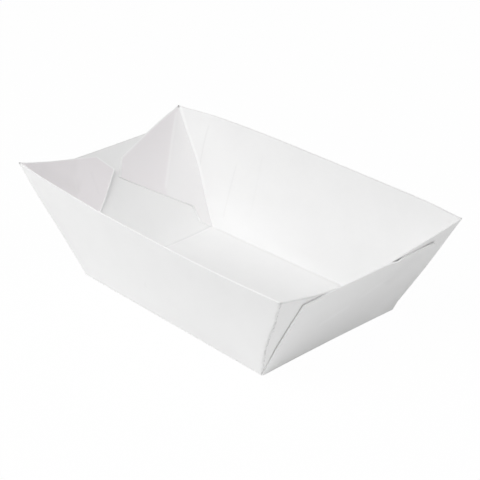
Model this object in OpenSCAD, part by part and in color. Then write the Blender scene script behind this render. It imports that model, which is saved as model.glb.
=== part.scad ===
// Paper food boat: one die-cut board blank, folded up and held by four glued corner flaps.
// The origin is the middle of the base's underside. X runs along the boat, the near side faces -Y.

/* [Base] */
// Length of the base between its two end folds
base_l = 108; // [80:1:160]
// Width of the base between its two side folds
base_w = 60; // [45:1:90]

/* [Walls] */
// Height of the four corner tips above the table
tip_h = 43.5; // [32:0.5:60]
// How far the corner tips stand out beyond the sides of the base
side_flare = 9.5; // [4:0.5:20]
// How far the corner tips stand out beyond the ends of the base
end_flare = 28.5; // [16:0.5:40]
// Slant length of an end panel, from its fold to its top edge
end_slant = 45; // [33:0.5:46]
// How far the middle of the near wall's rim bows outwards
near_bow = 2.5; // [0:0.5:7]
// How far the middle of the far wall's rim bows outwards
far_bow = 5; // [0:0.5:7]

/* [Corner flaps] */
// Length of the plain slit between a flap and the end panel, from the corner of the base
slit_l = 6.5; // [3:0.5:12]
// Length over which the slit opens out into the slot
slot_taper = 5; // [1:0.5:8]
// Width of the slot that is cut between a flap and the end panel
slot_w = 5; // [2:0.5:8]
// Length of the short edge at the free end of a flap
flap_end = 8; // [3:0.5:14]

/* [Board] */
// Thickness of the paperboard
board_t = 0.45; // [0.3:0.05:0.8]
// How far a glued flap is pressed into the end panel behind it
glue_bite = 0.05; // [0.02:0.01:0.1]

/* [Hidden] */

half_l = base_l / 2;
half_w = base_w / 2;

side_slant = norm([side_flare, tip_h]);
side_lean = atan(side_flare / tip_h);
end_slope = norm([end_flare, tip_h]);
end_lean = atan(end_flare / tip_h);

// A flap lies one board inside the end panel, and the side walls stop where the flaps fold.
lap = (board_t - glue_bite) / cos(end_lean);
wall_foot = half_l - lap;
end_inwards = [-cos(end_lean), 0, sin(end_lean)];

// The bow of a side wall is drawn with this many straight facets.
bow_steps = 24;

// The crease between a wall and its flap, as unit vectors from the corner of the base:
// first in the flat blank, then on the folded end.
crease_l = norm([end_flare, side_slant]);
flat_crease = [end_flare, side_slant] / crease_l;
end_crease = [-side_flare, end_slope] / crease_l;

// A flap's outline in the flat blank, from the corner of the base: X towards the end, Y outwards.
flap_blank = [
    [end_flare, side_slant],
    [0, 0],
    [slit_l, 0],
    [slit_l + slot_taper, slot_w],
    [end_slant, slot_w],
    [end_slant, slot_w + flap_end]
];

// Turns a point of the flat flap about its crease, into the plane of the folded end.
function folded(p) =
    let (along = p * flat_crease, across = p.x * flat_crease.y - p.y * flat_crease.x)
    [along * end_crease.x + across * end_crease.y, along * end_crease.y - across * end_crease.x];

// The four corners of a side wall's section at station s, from -1 at one crease to 1 at the other.
// The middle of the wall leans out further than its ends, which bows the rim.
function wall_section(s, bow) =
    let (
        lean = side_lean + asin(bow * (1 - s * s) / side_slant),
        foot = [s * wall_foot, half_w, 0],
        rise = [s * end_flare, side_slant * sin(lean), side_slant * cos(lean)],
        inwards = board_t * [0, -cos(lean), sin(lean)]
    )
    [foot, foot + rise, foot + rise + inwards, foot + inwards];

// A place on the end's outer face, moved inwards along the boat: X across from the side fold, Y up the slope.
function on_end(p, inset = 0) =
    [half_l - inset + p.y * sin(end_lean), half_w - p.x, p.y * cos(end_lean)];

// A flat piece of board. Its outer face is the outline, fanned out from the first point,
// and its thickness grows inwards.
module board(outline, inwards) {
    n = len(outline);
    polyhedron(
        [each outline, for (p = outline) p + board_t * inwards],
        [
            [for (i = [0 : n - 1]) i],
            [n, for (i = [n - 1 : -1 : 1]) n + i],
            for (i = [0 : n - 1]) let (j = (i + 1) % n) [i, n + i, n + j, j]
        ]
    );
}

// Repeats its children at both ends of the boat.
module both_ends() {
    children();
    mirror([1, 0, 0]) children();
}

// Repeats its children on both sides of the boat.
module both_sides() {
    children();
    mirror([0, 1, 0]) children();
}

module base_panel() {
    translate([-half_l, -half_w, 0]) cube([base_l, base_w, board_t]);
}

module end_panel() {
    outline = [[0, 0], [base_w, 0], [base_w, end_slant], [0, end_slant]];
    board([for (p = outline) on_end(p)], end_inwards);
}

module corner_flap() {
    board([for (p = flap_blank) on_end(folded(p), lap)], end_inwards);
}

module side_wall(bow) {
    points = [for (i = [0 : bow_steps]) each wall_section(2 * i / bow_steps - 1, bow)];
    last = 4 * bow_steps;
    skin = [
        for (i = [0 : bow_steps - 1], k = [0 : 3])
            let (a = 4 * i + k, b = 4 * i + (k + 1) % 4)
            each [[a, b + 4, b], [a, a + 4, b + 4]]
    ];
    ends = [[0, 1, 2, 3], [last + 3, last + 2, last + 1, last]];
    polyhedron(points, concat(skin, ends));
}

module tray() {
    color("white")
        union() {
            base_panel();
            side_wall(far_bow);
            mirror([0, 1, 0]) side_wall(near_bow);
            both_ends() end_panel();
            both_ends() both_sides() corner_flap();
        }
}

tray();
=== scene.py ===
import math

import bmesh
import bpy
from mathutils import Matrix, Vector, noise


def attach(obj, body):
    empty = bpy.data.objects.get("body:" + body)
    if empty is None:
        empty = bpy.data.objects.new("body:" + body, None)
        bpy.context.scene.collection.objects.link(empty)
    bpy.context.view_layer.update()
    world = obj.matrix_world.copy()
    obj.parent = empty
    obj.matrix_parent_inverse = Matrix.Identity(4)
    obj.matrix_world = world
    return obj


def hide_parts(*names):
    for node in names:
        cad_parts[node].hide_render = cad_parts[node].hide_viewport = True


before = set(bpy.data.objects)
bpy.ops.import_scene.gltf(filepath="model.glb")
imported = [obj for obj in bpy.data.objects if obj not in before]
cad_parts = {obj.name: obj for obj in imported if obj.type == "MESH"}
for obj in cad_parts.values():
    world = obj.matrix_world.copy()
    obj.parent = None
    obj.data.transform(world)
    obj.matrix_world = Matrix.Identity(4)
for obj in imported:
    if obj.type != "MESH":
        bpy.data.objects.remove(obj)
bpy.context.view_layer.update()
print("frame loaded")


class Wire:  # one output socket, which Python's arithmetic turns into Math nodes
    def __init__(self, shader, socket):
        self.shader, self.socket = shader, socket

    def maths(self, operation, *values, clamp=False):
        settings = {"operation": operation, "use_clamp": clamp}
        return self.shader.node("ShaderNodeMath", settings, dict(enumerate(values)))

    def __add__(self, other):
        return self.maths("ADD", self, other)

    def __radd__(self, other):
        return self.maths("ADD", other, self)

    def __sub__(self, other):
        return self.maths("SUBTRACT", self, other)

    def __rsub__(self, other):
        return self.maths("SUBTRACT", other, self)

    def __mul__(self, other):
        return self.maths("MULTIPLY", self, other)

    def __rmul__(self, other):
        return self.maths("MULTIPLY", other, self)

    def __abs__(self):
        return self.maths("ABSOLUTE", self)

    def clamped(self):
        return self.maths("ADD", self, 0, clamp=True)

    def root(self):
        return self.maths("SQRT", self)

    def over(self, other):
        return self.maths("MAXIMUM", self, other)

    def under(self, other):
        return self.maths("MINIMUM", self, other)


class Shader:  # the nodes of one material or world
    def __init__(self, owner):
        owner.use_nodes = True
        self.tree = owner.node_tree
        self.tree.nodes.clear()

    def node(self, kind, settings=None, values=None, output=0):
        made = self.tree.nodes.new(kind)
        for name, value in (settings or {}).items():
            if name == "stops":
                ramp = made.color_ramp
                for place, shade in value[1:-1]:
                    ramp.elements.new(place)
                for stop, (place, shade) in zip(ramp.elements, value):
                    stop.position, stop.color = place, (shade, shade, shade, 1)
            else:
                setattr(made, name, value)
        for name, value in (values or {}).items():
            socket = made.inputs[name]
            if isinstance(value, Wire):
                self.tree.links.new(value.socket, socket)
            else:
                socket.default_value = value
        return Wire(self, made.outputs[output]) if made.outputs else None

    def band(self, distance, inner, outer):  # 1 up to inner, fading to 0 at outer
        ranges = {"Value": distance, "From Min": inner, "From Max": outer, "To Min": 1, "To Max": 0}
        return self.node("ShaderNodeMapRange", {"interpolation_type": "SMOOTHSTEP"}, ranges)

    # 1 along a line from start to end, with soft sides and ends
    def stroke(self, x, y, start, end, halfWidth):
        start, end = Vector(start), Vector(end)
        length = (end - start).length
        way = (end - start) / length
        along = (x - start.x) * way.x + (y - start.y) * way.y
        across = (x - start.x) * way.y - (y - start.y) * way.x
        sides = self.band(abs(across), 0.0, halfWidth)
        return sides * self.band(abs(along - length / 2), length / 2 - 1, length / 2 + 1)

    def noise(self, place, scale, detail=2, roughness=0.5):
        values = {"Vector": place, "Scale": scale, "Detail": detail, "Roughness": roughness}
        return self.node("ShaderNodeTexNoise", {"noise_dimensions": "3D"}, values)

    def tint(self, factor, first, second):
        mixed = {0: factor, 6: first, 7: second}
        return self.node("ShaderNodeMix", {"data_type": "RGBA"}, mixed, 2)


boat = {
    "baseLength": 0.108,
    "baseWidth": 0.060,
    "tipHeight": 0.0435,
    "sideFlare": 0.0095,
    "endFlare": 0.0285,
    "endSlant": 0.045,
    "panelSlant": {-1: 0.0456, 1: 0.0428},   # how tall the left and right end panels were cut
    "slit": 0.0065,
    "slotTaper": 0.005,
    "slotWidth": 0.005,
    "flapEnd": 0.0083,
    "flapRake": 0.0012,
    "board": 0.00045,
    "glueGap": 0.00004,
    "foldRadius": 0.0003,
    "cell": 0.003,
    # how far each rim bows outwards, at nine even places from its left tip to its right one, in mm
    "nearRimBow": (0, 1.30, 1.95, 2.30, 2.40, 2.30, 1.90, 1.15, 0),
    "farRimBow": (0, 5.00, 6.60, 6.85, 5.90, 5.10, 4.10, 3.10, 0),
    "warp": 0.00020,      # how far the board is from flat
    "warpScale": 28,
    # how far each corner sits from where a true fold would put it, in mm: end, side, top or foot
    "skew": {(-1, -1, 1): (0.46, 0.81, -0.14), (-1, 1, 1): (-0.10, -0.04, 0.17),
             (1, 1, 1): (0.07, -0.37, -0.66), (1, -1, 1): (-0.02, -0.75, -0.79),
             (-1, -1, 0): (-1.44, -1.14, 0), (-1, 1, 0): (2.40, -0.95, 0),
             (1, 1, 0): (-0.21, 1.59, 0), (1, -1, 0): (0.36, 0.35, 0)},
    # how far each flap's free end lifts off the end panel, and turns in its own plane, in degrees
    "flapLift": {(-1, -1): 0.0007, (-1, 1): 0.0, (1, -1): 0.0003, (1, 1): 0.0},
    "flapTurn": {(-1, -1): -2.4, (-1, 1): 2.6, (1, -1): -2.0, (1, 1): -1.0},
    # how far the top corners of each end panel stand off their flaps, sank and were drawn in,
    # and how far one side of its rim sits below the other
    "panelCup": {(-1, -1): 0.0, (-1, 1): 0.0, (1, -1): 0.0002, (1, 1): 0.0006},
    "panelDrop": {(-1, -1): 0, (-1, 1): 0, (1, -1): -0.0003, (1, 1): -0.0014},
    "panelTilt": {-1: 0.0002, 1: 0},
    "panelPinch": {(-1, -1): 0, (-1, 1): 0, (1, -1): 0.0030, (1, 1): 0},
    # places where the right end panel stands off: its end, y, height up the slope, reach and amount
    "bulges": [(1, 0.0131, 0.0428, 0.0022, 0.0007)],
    # corner creases that were not folded straight: end, side, place along the crease, reach and shift
    "kinks": [(-1, 1, 0.027, 0.012, (0.0014, 0.0004, 0)), (1, -1, 0.021, 0.012, (-0.00025, -0.0011, 0)),
              (1, 1, 0.026, 0.018, (0.0004, 0.0003, 0)), (-1, -1, 0.038, 0.012, (0, -0.0004, 0))],
    # how far a flap's top edge sank, and over what reach
    "flapSag": {(1, -1): (0.0023, 0.020), (-1, -1): (-0.0020, 0.032)},
    "endDent": {-1: 0.0028, 1: 0.0004},  # how far the foot of each end panel was pushed in
}


def boatPlan(size):  # the blank's angles and lengths that follow from the settings
    rise = math.hypot(size["sideFlare"], size["tipHeight"])
    endLean = math.atan2(size["endFlare"], size["tipHeight"])
    sideLean = math.atan2(size["sideFlare"], size["tipHeight"])
    inset = (size["board"] + size["glueGap"]) / math.cos(endLean)
    return {
        "halfLength": size["baseLength"] / 2,
        "halfWidth": size["baseWidth"] / 2,
        "foot": size["baseLength"] / 2 - inset,
        "rise": rise,
        "endLean": endLean,
        "sideLean": sideLean,
        "crease": Vector((size["endFlare"], rise)).normalized(),
        "creaseTurn": math.acos(math.sin(endLean) * math.sin(sideLean)),
    }


panelNames = ["base", "nearWall", "farWall", "leftEnd", "rightEnd"]
flapNames = {(-1, -1): "leftNearFlap", (-1, 1): "leftFarFlap",
             (1, -1): "rightNearFlap", (1, 1): "rightFarFlap"}
panelNumbers = {name: number for number, name in enumerate(panelNames + list(flapNames.values()))}


def cutBlank(size, plan):  # the flat die-cut sheet, its outer side facing down, cut into small cells
    bm = bmesh.new()
    panel = bm.faces.layers.int.new("panel")
    halfLength, halfWidth, foot = plan["halfLength"], plan["halfWidth"], plan["foot"]
    tipX, tipY = foot + size["endFlare"], halfWidth + plan["rise"]

    def addPanel(name, corners):
        face = bm.faces.new([bm.verts.new((x, y, 0)) for x, y in corners])
        face[panel] = panelNumbers[name]

    side = [(-halfLength, halfWidth), (-foot, halfWidth), (foot, halfWidth), (halfLength, halfWidth)]
    addPanel("base", side + [(x, -y) for x, y in reversed(side)])
    for name, sign in (("nearWall", -1), ("farWall", 1)):
        addPanel(name, [(x, sign * y) for x, y in
                        ((-foot, halfWidth), (foot, halfWidth), (tipX, tipY), (-tipX, tipY))])
    for name, sign in (("leftEnd", -1), ("rightEnd", 1)):
        rim = halfLength + size["panelSlant"][sign]
        corners = ((halfLength, -halfWidth), (halfLength, halfWidth), (rim, halfWidth), (rim, -halfWidth))
        addPanel(name, [(sign * x, y) for x, y in corners])
    for (end, sign), name in flapNames.items():
        slot = halfWidth + size["slotWidth"]
        outline = [(foot, halfWidth), (foot + size["slit"], halfWidth),
                   (foot + size["slit"] + size["slotTaper"], slot), (foot + size["endSlant"], slot),
                   (foot + size["endSlant"] + size["flapRake"], slot + size["flapEnd"]), (tipX, tipY)]
        addPanel(name, [(end * x, sign * y) for x, y in outline])
    bmesh.ops.remove_doubles(bm, verts=bm.verts, dist=1e-6)  # joins the panels at their folds

    for axis, reach in ((0, foot + size["endSlant"] + size["flapRake"]), (1, tipY)):
        normal = Vector((1, 0, 0)) if axis == 0 else Vector((0, 1, 0))
        for step in range(-int(reach / size["cell"]), int(reach / size["cell"]) + 1):
            everything = bm.verts[:] + bm.edges[:] + bm.faces[:]
            bmesh.ops.bisect_plane(bm, geom=everything, dist=1e-6,
                                   plane_co=normal * (step + 0.37) * size["cell"], plane_no=normal)
    for face in bm.faces:
        if face.normal.z > 0:
            face.normal_flip()
    blankMap = bm.loops.layers.uv.new("blank")  # decimetres on the flat sheet
    for face in bm.faces:
        for loop in face.loops:
            loop[blankMap].uv = (loop.vert.co.x * 10, loop.vert.co.y * 10)
    print("blank cut:", len(bm.faces), "cells")
    return bm


def panelPoints(bm, names):
    panel = bm.faces.layers.int["panel"]
    numbers = {panelNumbers[name] for name in names}
    return list({vert for face in bm.faces if face[panel] in numbers for vert in face.verts})


def foldBlank(bm, size, plan):
    halfLength, halfWidth, foot, rise = (plan[key] for key in ("halfLength", "halfWidth", "foot", "rise"))
    flat = {vert: vert.co.copy() for vert in bm.verts}
    for (end, sign), name in flapNames.items():  # the corner creases
        axis = Vector((end * plan["crease"].x, sign * plan["crease"].y, 0))
        bmesh.ops.rotate(bm, verts=panelPoints(bm, [name]), cent=(end * foot, sign * halfWidth, 0),
                         matrix=Matrix.Rotation(-plan["creaseTurn"] * end * sign, 3, axis))
    for name, sign in (("nearWall", -1), ("farWall", 1)):  # the side folds
        moving = panelPoints(bm, [name] + [flap for (end, side), flap in flapNames.items() if side == sign])
        bmesh.ops.rotate(bm, verts=moving, cent=(0, sign * halfWidth, 0),
                         matrix=Matrix.Rotation((math.pi / 2 - plan["sideLean"]) * sign, 3, "X"))
    for name, sign in (("leftEnd", -1), ("rightEnd", 1)):  # the end folds
        bmesh.ops.rotate(bm, verts=panelPoints(bm, [name]), cent=(sign * halfLength, 0, 0),
                         matrix=Matrix.Rotation(-(math.pi / 2 - plan["endLean"]) * sign, 3, "Y"))
    print("blank folded")
    return flat


def alongRim(values, station):  # a smooth curve through even places from -1 to 1
    place = min(max((station + 1) / 2, 0), 0.9999) * (len(values) - 1)
    i = int(place)
    t = place - i
    a, b, c, d = (values[min(max(j, 0), len(values) - 1)] for j in (i - 1, i, i + 1, i + 2))
    return b + t * (c - a + t * (2 * a - 5 * b + 4 * c - d + t * (3 * (b - c) + d - a))) / 2


def bendWalls(bm, size, plan, flat):  # the rims bow outwards, and the board is never quite flat
    for name, sign, bows in (("nearWall", -1, size["nearRimBow"]), ("farWall", 1, size["farRimBow"])):
        fold = Vector((0, sign * plan["halfWidth"], 0))
        for vert in panelPoints(bm, [name]):
            up = abs(flat[vert].y) - plan["halfWidth"]
            station = flat[vert].x / (plan["foot"] + size["endFlare"] * up / plan["rise"])
            bow = alongRim(bows, station) / 1000
            warp = noise.noise(flat[vert] * size["warpScale"] + Vector((sign, 0, 4))) * size["warp"]
            lean = math.asin((bow + warp * (1 - station ** 4)) / plan["rise"])
            vert.co = fold + Matrix.Rotation(-lean * sign, 3, "X") @ (vert.co - fold)


def skewCorners(bm, size, plan):
    for vert in bm.verts:
        height = min(max(vert.co.z / size["tipHeight"], 0), 1)
        endShare = vert.co.x / (plan["foot"] + size["endFlare"] * height)
        sideShare = vert.co.y / (plan["halfWidth"] + size["sideFlare"] * height)
        shift = Vector()
        for (end, side, top), amount in size["skew"].items():
            weight = (height if top else 1 - height) * (1 + min(max(endShare, -1), 1) * end) * \
                     (1 + min(max(sideShare, -1), 1) * side) / 4
            shift += Vector(amount) / 1000 * weight
        end = 1 if endShare > 0 else -1
        dent = size["endDent"][end] * math.cos(math.pi / 2 * min(abs(vert.co.y) / plan["halfWidth"], 1))
        shift.x -= end * dent * (1 - height) * endShare ** 2
        vert.co += shift


def easeEnds(bm, size, plan, flat):  # the end panels cup, and the flaps lift and turn a little
    for name, end in (("leftEnd", -1), ("rightEnd", 1)):
        outwards = Vector((end * math.cos(plan["endLean"]), 0, -math.sin(plan["endLean"])))
        for vert in panelPoints(bm, [name]):
            up = (abs(flat[vert].x) - plan["halfLength"]) / size["endSlant"]
            across = flat[vert].y / plan["halfWidth"]
            side = 1 if across > 0 else -1
            cup = size["panelCup"][end, side] * abs(across) ** 4 * max(up, 0) ** 2
            for bulgeEnd, y, slant, reach, amount in size["bulges"]:
                if bulgeEnd == end:
                    off = (flat[vert].y - y) ** 2 + (abs(flat[vert].x) - plan["halfLength"] - slant) ** 2
                    cup += amount * math.exp(-off / reach ** 2)
            warp = noise.noise(flat[vert] * size["warpScale"] + Vector((0, end, 9))) * size["warp"]
            cup += warp * min(max(up, 0) * 3, 1) * (1 - abs(across) ** 3)
            drop = (size["panelDrop"][end, side] * across ** 2 + size["panelTilt"][end] * across) * max(up, 0)
            vert.co += outwards * cup - outwards.cross(Vector((0, end, 0))) * drop
            vert.co.y -= side * size["panelPinch"][end, side] * across ** 2 * max(up, 0) ** 2
    for (end, side), name in flapNames.items():
        outwards = Vector((end * math.cos(plan["endLean"]), 0, -math.sin(plan["endLean"])))
        corner = Vector((end * plan["foot"], side * plan["halfWidth"], 0))
        turn = math.radians(size["flapTurn"][end, side]) * end * side
        for vert in panelPoints(bm, [name]):
            place = Vector((abs(flat[vert].x) - plan["foot"], abs(flat[vert].y) - plan["halfWidth"]))
            across = place.x * plan["crease"].y - place.y * plan["crease"].x
            share = min(max(across / 0.03, 0), 1.2)
            vert.co = corner + Matrix.Rotation(turn * min(share * 1.5, 1), 3, outwards) @ (vert.co - corner)
            vert.co -= outwards * size["flapLift"][end, side] * share ** 1.6
            if (end, side) in size["flapSag"]:
                sag, reach = size["flapSag"][end, side]
                upSlope = outwards.cross(Vector((0, end, 0)))
                high = min(max((place.dot(plan["crease"]) - 0.015) / 0.03, 0), 1)
                vert.co -= upSlope * sag * high * min(max(across / reach, 0), 1) ** 1.5


def kinkCreases(bm, size, plan, flat):
    for end, side, middle, reach, shift in size["kinks"]:
        for vert in panelPoints(bm, ["farWall" if side > 0 else "nearWall", flapNames[end, side]]):
            x, y = flat[vert].x * end - plan["foot"], flat[vert].y * side - plan["halfWidth"]
            along = x * plan["crease"].x + y * plan["crease"].y
            across = x * plan["crease"].y - y * plan["crease"].x
            push = math.exp(-((along - middle) / reach) ** 2 - (across / 0.010) ** 2)
            vert.co += Vector(shift) * push * min(max(y / 0.004, 0), 1)


def foldAngle(edge):
    return edge.calc_face_angle(0) if len(edge.link_faces) == 2 else 0


def roundFolds(bm, size):
    folds = [edge for edge in bm.edges if foldAngle(edge) > math.radians(35)]
    bmesh.ops.bevel(bm, geom=folds, offset=size["foldRadius"], offset_type="OFFSET", segments=3, profile=0.5,
                    affect="EDGES", clamp_overlap=True, material=-1)


def thicken(bm, size):  # gives the sheet its thickness on the inside, and marks its cut edges and inner side
    outer = set(bm.verts)
    bmesh.ops.solidify(bm, geom=bm.faces[:], thickness=size["board"])
    cutEdge = bm.faces.layers.float.new("cutEdge")
    innerSide = bm.faces.layers.float.new("innerSide")
    for face in bm.faces:
        fromOuter = sum(vert in outer for vert in face.verts)
        face[cutEdge] = 1.0 if 0 < fromOuter < len(face.verts) else 0.0
        face[innerSide] = 1.0 if fromOuter == 0 else 0.0
        face.smooth = True
    blankMap = bm.loops.layers.uv["blank"]
    places = {loop.vert: loop[blankMap].uv.copy()
              for face in bm.faces if not face[cutEdge] for loop in face.loops}
    for face in bm.faces:  # a cut face takes its place on the blank from the sheet beside it
        if face[cutEdge]:
            for loop in face.loops:
                loop[blankMap].uv = places[loop.vert]
    for edge in bm.edges:
        if foldAngle(edge) > math.radians(35):
            edge.smooth = False


def makeTray(size):
    plan = boatPlan(size)
    bm = cutBlank(size, plan)
    flat = foldBlank(bm, size, plan)
    bendWalls(bm, size, plan, flat)
    easeEnds(bm, size, plan, flat)
    kinkCreases(bm, size, plan, flat)
    skewCorners(bm, size, plan)
    roundFolds(bm, size)
    thicken(bm, size)
    mesh = bpy.data.meshes.new("foldedBoard")
    bm.to_mesh(mesh)
    bm.free()
    tray = bpy.data.objects.new("foldedBoard", mesh)
    bpy.context.collection.objects.link(tray)
    print("board folded:", len(mesh.polygons), "faces")
    return tray


paper = {
    "white": (0.950, 0.950, 0.948, 1),
    "shade": (0.915, 0.915, 0.914, 1),
    # the next three: the colour of the paler cut edges, painted highlights and painted light; of the specks
    # and painted shade; and of the painted shade on the left flaps
    "light": (0.998, 0.998, 0.998, 1),
    "dark": (0.300, 0.295, 0.290, 1),
    "flapShade": (0.900, 0.870, 0.885, 1),
    "roughness": 0.78,
    # lines and patches on the flat blank, in mm, a few pressed into the board and most of them painted
    # highlights and painted shade:
    # from, to, half width, tone (above 0 is lighter), height
    "marks": [
        ((-64.4, 69.9), (-66.4, 53.0), 0.8, -0.06, -0.03),
        ((-44.9, 58.5), (-47.2, 36.4), 0.8, -0.05, -0.03),
        ((-30.5, 66.0), (-31.2, 41.0), 0.9, -0.02, -0.02),
        # a painted highlight along the ridge on the far left flap
        ((-82.0, 71.1), (-78.1, 38.0), 1.0, 0.50, 0.03),
        ((-5.9, -44.4), (-4.6, -47.0), 1.1, -0.04, 0.00),
        ((56.2, -38.9), (57.1, -38.4), 0.6, -0.04, 0.06),
        ((54.8, -33.8), (55.5, -33.0), 0.7, 0.30, 0.06),
        ((71.6, -57.9), (72.1, -57.2), 0.7, -0.18, 0.00),
        ((-88.0, -50.0), (-80.0, -45.0), 0.9, 0.15, 0.02),
        ((-93.0, -44.0), (-86.0, -38.0), 0.9, -0.03, 0.02),
        # painted highlights along the left flaps' cut edges, and painted shade along the far flap's lower
        # edge
        ((-81.9, 74.5), (-99.6, 43.3), 1.1, 1.00, 0.00),
        ((-99.6, 43.3), (-98.4, 35.0), 0.9, 1.00, -0.50),
        ((-98.4, 35.0), (-64.9, 35.0), 0.7, -0.08, 0.00),
        ((-64.9, 35.0), (-59.9, 30.0), 0.8, 1.00, -0.40),
        ((-81.9, -74.5), (-99.6, -43.3), 0.7, 0.60, 0.00),
        ((-99.6, -43.3), (-98.4, -35.0), 0.9, 1.00, 0.00),
        ((-98.4, -35.0), (-64.9, -35.0), 0.8, 1.00, 0.30),
        # painted shade along the left rim, painted shade beside a painted highlight along the left fold,
        # painted shade along the far fold, and a painted highlight on the far left crease
        ((-99.6, -28.0), (-99.6, 28.0), 0.6, -0.14, 0.00),
        ((-54.5, -29.0), (-54.5, 29.0), 0.6, -0.06, 0.00),
        ((-53.2, -29.0), (-53.2, 29.0), 0.8, 0.90, 0.00),
        ((-50.0, 29.0), (52.0, 29.0), 1.0, -0.04, 0.00),
        ((-52.4, 30.6), (-80.9, 75.1), 1.6, 0.90, 0.00),
        # painted highlights on the right rim and flap edge, painted shade along the fold below it, a painted
        # highlight along the near fold, and two painted highlights on the right end
        ((96.8, -28.0), (96.8, 28.0), 0.5, 0.90, 0.00),
        ((81.9, 74.5), (99.6, 43.3), 0.5, 1.00, 0.00),
        ((54.3, -29.0), (54.3, -2.0), 0.7, -0.14, 0.00),
        ((0.0, -30.6), (52.0, -30.6), 0.8, 0.60, 0.00),
        ((73.6, -12.2), (77.8, -0.2), 2.6, 0.50, 0.00),
        ((80.0, 4.0), (86.0, 16.0), 2.6, 0.35, 0.00),
        # painted shade: soft greyer places on the near left flap and the left end
        ((-82.5, -71.0), (-83.5, -46.0), 6.0, -0.085, 0.00),
        ((-88.0, -66.0), (-92.0, -50.0), 9.0, -0.050, 0.00),
        ((-78.0, -30.0), (-78.0, 30.0), 26.0, -0.030, 0.00),
        ((-63.0, -15.0), (-63.0, 26.0), 12.0, -0.025, 0.00),
        # painted light makes the right end paler at its far foot, and painted shade makes it greyer by its
        # far top corner
        ((56.0, 20.0), (70.0, 27.0), 10.0, 0.45, 0.00),
        ((82.0, 14.0), (94.0, 24.0), 9.0, -0.045, 0.00),
    ],
    "tipShadeReach": 1.8,     # how far the painted shade at a tip reaches
    # how much paler the folds are painted, as a painted highlight, how much darker the specks of the knocked
    # crease are, and how dark the painted shade is along the near right flap's top edge, along the far rim
    # and at the far wall's top
    "foldHighlightTone": 0.35,
    "speckTone": 0.30,
    "nearFlapEdgeShadeTone": 0.16,
    "farRimShadeTone": 0.08,
    "farTopShadeTone": 0.025,
    # the relief of the folds on the inner and outer side, and of the worn crease, in mm
    "foldRidge": 0.22,
    "foldGroove": 0.05,
    "wornHeight": 0.9,
    "cutSlant": 0.6,      # how far the right end's cut edges lean towards the near side
}


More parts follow.
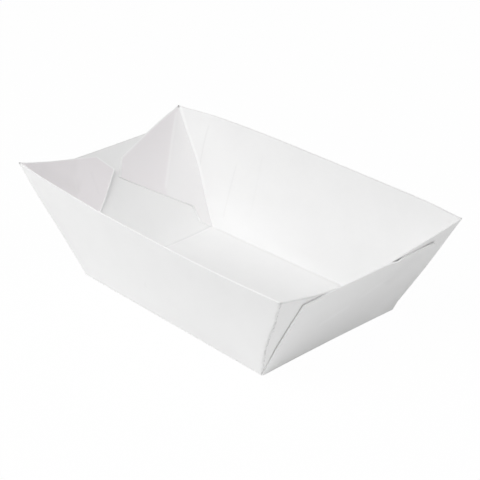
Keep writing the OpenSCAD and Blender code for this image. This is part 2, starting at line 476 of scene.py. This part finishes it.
def whiteBoard(look, size):
    plan = boatPlan(size)
    material = bpy.data.materials.new("whiteBoard")
    s = Shader(material)
    flat = s.node("ShaderNodeUVMap", {"uv_map": "blank"})
    solid = s.node("ShaderNodeTexCoord", output="Object")
    cutEdge = s.node("ShaderNodeAttribute", {"attribute_name": "cutEdge"}, output="Fac")
    innerSide = s.node("ShaderNodeAttribute", {"attribute_name": "innerSide"}, output="Fac")
    u = s.node("ShaderNodeSeparateXYZ", None, {0: flat}, 0) * 100  # millimetres on the blank
    v = s.node("ShaderNodeSeparateXYZ", None, {0: flat}, 1) * 100
    x, y = abs(u), abs(v)
    left, right = (u * -10).clamped(), (u * 10).clamped()
    near, far = (v * -10).clamped(), (v * 10).clamped()

    # distances to the folds, the corner creases and the flaps' top edges, the same at all four corners
    foot, halfLength, halfWidth = plan["foot"] * 1000, plan["halfLength"] * 1000, plan["halfWidth"] * 1000
    tip = (foot + size["endFlare"] * 1000, halfWidth + plan["rise"] * 1000)
    flapTop = (foot + (size["endSlant"] + size["flapRake"]) * 1000,
               halfWidth + (size["slotWidth"] + size["flapEnd"]) * 1000)
    pastCrease = (x - foot) * plan["crease"].y - (y - halfWidth) * plan["crease"].x
    onWall, onFlap = (pastCrease * -2).clamped(), (pastCrease * 2).clamped()
    crease = s.stroke(x, y, (foot, halfWidth), tip, 0.55)
    sideFold = s.band(abs(y - halfWidth), 0.0, 0.55) * s.band(x, foot, foot + 0.4)
    endFold = s.band(abs(x - halfLength), 0.0, 0.55) * s.band(y, halfWidth, halfWidth + 0.4)
    folds = crease.over(sideFold).over(endFold)
    # painted shade along the near right flap's top edge, and along the far rim
    nearFlapEdgeShade = s.stroke(x, y, tip, flapTop, 0.8) * right * near
    farRimShade = s.band(abs(y - tip[1]), 0.0, 0.5) * far
    toTip = ((x - tip[0]) * (x - tip[0]) + (y - tip[1]) * (y - tip[1])).root()

    # noise in the sheet and along its worn crease
    fibreMap = s.node("ShaderNodeCombineXYZ", None, {0: u * 0.35, 1: v * 1.6, 2: innerSide * 7})
    fibres = s.noise(fibreMap, 1.0, 6, 0.62)
    clouds = s.noise(solid, 70.0, 4, 0.6)
    speckle = s.noise(solid, 900.0, 2, 0.5)
    alongCrease = (x - foot) * plan["crease"].x + (y - halfWidth) * plan["crease"].y
    creaseMap = s.node("ShaderNodeCombineXYZ", None, {0: alongCrease * 0.55, 1: pastCrease, 2: 0.0})
    nicks = s.noise(creaseMap, 1.0, 3, 0.7)
    mottle = (clouds - 0.5) * 0.9 + (fibres - 0.5) * 0.55

    # the near right corner was knocked: its crease is specked and rough
    nearRight = right * near
    wornCrease = s.stroke(x, y, (foot, halfWidth), tip, 1.3) * nearRight
    specks = s.band(nicks, 0.44, 0.50) * s.band(abs(pastCrease - 0.35), 0.1, 0.6) * nearRight

    # painted light: the far wall's foot is paler, most at the left, standing in for light bounced up from the
    # base
    farFootLight = s.band(v, halfWidth + 5, halfWidth + 24) * s.band(u, -48, 48) + \
        s.band(v, halfWidth + 0.5, halfWidth + 7) * s.band(u, 0, 90) * 0.5
    farFootLight = farFootLight.under(1.0) * innerSide * (v - halfWidth).clamped() * onWall

    # painted shade: the far wall's top is greyer, most at the left, and the tips are darker, the left ones
    # more than the right ones
    farTopShade = onWall * (1 - s.band(v, 34, 62)) * far * (s.band(u, -60, 40) * 1.4 + 0.7)
    tipShade = s.band(toTip, 0.3, look["tipShadeReach"]) * (left * 0.6 + 0.2)

    # lighter holds the painted highlights along the folds, the painted light at the far wall's foot, the
    # board's paler cut edges and the lighter marks; darker holds the real specks of the knocked crease, and
    # painted shade along the near right flap's top edge, the far rim, the tips and the far wall's top, and in
    # the darker marks
    lighter = folds * look["foldHighlightTone"] + cutEdge + farFootLight
    darker = specks * look["speckTone"] + nearFlapEdgeShade * look["nearFlapEdgeShadeTone"] + farRimShade * look["farRimShadeTone"] + \
        tipShade + farTopShade * look["farTopShadeTone"]
    height = folds * innerSide * look["foldRidge"] - folds * (1 - innerSide) * look["foldGroove"] + \
        wornCrease * (nicks - 0.5) * look["wornHeight"]
    height = height + cutEdge * right * v * look["cutSlant"]
    for start, end, halfWidthOfMark, tone, rise in look["marks"]:
        mark = s.stroke(u, v, start, end, halfWidthOfMark)
        if tone > 0:
            lighter = lighter + mark * tone
        else:
            darker = darker - mark * tone
        height = height + mark * rise

    # painted shade: the left flaps are painted greyer and faintly pink, the near flap most, where the near
    # wall shades it, and the far flap more beyond its ridge
    leftFlap = onFlap * left * s.band(halfWidth + 0.3 - y, 0.0, 0.3)
    pastRidge = s.band((u + 80.6) + (v - 59) * 0.118, -0.5, 1.5) * far
    leftFlapShade = leftFlap * (near * (s.band(v, -76, -50) * 0.8 + 0.9) + pastRidge * 0.55 + 0.28)

    colour = s.tint((mottle * 1.2 + 0.35).clamped(), look["white"], look["shade"])
    colour = s.tint(leftFlapShade, colour, look["flapShade"])
    colour = s.tint(lighter.under(1.0), colour, look["light"])
    colour = s.tint(darker.under(1.0), colour, look["dark"])

    fine = (fibres - 0.5) * 0.02 + (clouds - 0.5) * 0.03 + (speckle - 0.5) * 0.01
    relief = {"Strength": 1.0, "Distance": 0.001, "Height": fine * 0.3 + height}
    normal = s.node("ShaderNodeBump", None, relief)
    principled = s.node("ShaderNodeBsdfPrincipled", None, {
        "Base Color": colour,
        "Roughness": (clouds - 0.5) * 0.12 + look["roughness"],
        "Specular IOR Level": 0.25,
        "Normal": normal,
    })
    s.node("ShaderNodeOutputMaterial", None, {"Surface": principled})
    print("material made: white board")
    return material


tray = makeTray(boat)
tray.data.materials.append(whiteBoard(paper, boat))
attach(tray, "root")
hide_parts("tray")


studio = {
    "ambient": 0.28,
    "lampSize": 0.5,
    # each lamp's watts and place
    "lamps": {"key": (2.18, (-0.34, -0.56, 0.42)),
              "top": (2.37, (0.00, -0.42, 0.80)),
              "right": (1.95, (0.75, 0.10, 0.50))},
    "floorSize": 6.0,
    "floorWhite": 0.98,      # how much of the floor's look is plain white to the camera
}


def cameraRays(s):  # 1 for what the camera, a gloss or a clear surface sees directly
    def ray(name):
        return s.node("ShaderNodeLightPath", output=name)
    return ray("Is Camera Ray").over(ray("Is Glossy Ray")).over(ray("Is Transmission Ray"))


def paleFloor(look):
    material = bpy.data.materials.new("paleFloor")
    s = Shader(material)
    diffuse = s.node("ShaderNodeBsdfDiffuse", None, {"Color": (0.9, 0.9, 0.9, 1)})
    white = s.node("ShaderNodeEmission", None, {"Color": (1, 1, 1, 1), "Strength": 1.0})
    mixed = {0: cameraRays(s) * look["floorWhite"], 1: diffuse, 2: white}
    surface = s.node("ShaderNodeMixShader", None, mixed)
    s.node("ShaderNodeOutputMaterial", None, {"Surface": surface})
    return material


def makeStudio(look):
    bm = bmesh.new()
    bmesh.ops.create_grid(bm, x_segments=4, y_segments=4, size=look["floorSize"] / 2)
    bmesh.ops.translate(bm, verts=bm.verts, vec=(0, 0, -0.00002))
    mesh = bpy.data.meshes.new("floor")
    bm.to_mesh(mesh)
    bm.free()
    mesh.materials.append(paleFloor(look))
    floor = bpy.data.objects.new("floor", mesh)
    bpy.context.collection.objects.link(floor)

    world = bpy.data.worlds.new("softRoom")
    bpy.context.scene.world = world
    s = Shader(world)
    room = s.node("ShaderNodeBackground", None, {"Color": (1, 1, 1, 1), "Strength": look["ambient"]})
    seen = s.node("ShaderNodeBackground", None, {"Color": (1, 1, 1, 1), "Strength": 1.0})
    both = s.node("ShaderNodeMixShader", None, {0: cameraRays(s), 1: room, 2: seen})
    s.node("ShaderNodeOutputWorld", None, {"Surface": both})

    for name, (watts, place) in look["lamps"].items():
        lamp = bpy.data.lights.new(name, "AREA")
        lamp.size, lamp.energy = look["lampSize"], watts
        light = bpy.data.objects.new(name, lamp)
        light.location = place
        light.rotation_euler = (-light.location).to_track_quat("-Z", "Y").to_euler()
        bpy.context.collection.objects.link(light)
    print("studio made")


# the camera that the photograph was taken with, fitted to the boat's outline
lens = {"azimuth": 54.437, "elevation": 26.130, "roll": -5.725, "distance": 0.51509,
        "right": 0.002646, "up": 0.019714, "focalPixels": 1361.46}


def makeCamera(look):
    azimuth, elevation, roll = (math.radians(look[key]) for key in ("azimuth", "elevation", "roll"))
    back = Vector((math.sin(azimuth) * math.cos(elevation), -math.cos(azimuth) * math.cos(elevation),
                   math.sin(elevation)))
    across = Vector((0, 0, 1)).cross(back).normalized()
    upwards = back.cross(across)
    right = across * math.cos(roll) + upwards * math.sin(roll)
    up = upwards * math.cos(roll) - across * math.sin(roll)
    data = bpy.data.cameras.new("camera")
    data.sensor_width = 36
    data.lens = look["focalPixels"] / 480 * data.sensor_width
    data.clip_start, data.clip_end = 0.01, 50
    camera = bpy.data.objects.new("camera", data)
    place = back * look["distance"] + right * look["right"] + up * look["up"]
    turn = Matrix((right, up, back)).transposed().to_4x4()
    camera.matrix_world = Matrix.Translation(place) @ turn
    bpy.context.collection.objects.link(camera)
    bpy.context.scene.camera = camera
    print("camera placed")


makeStudio(studio)
makeCamera(lens)
bpy.context.scene.view_settings.view_transform = "Standard"
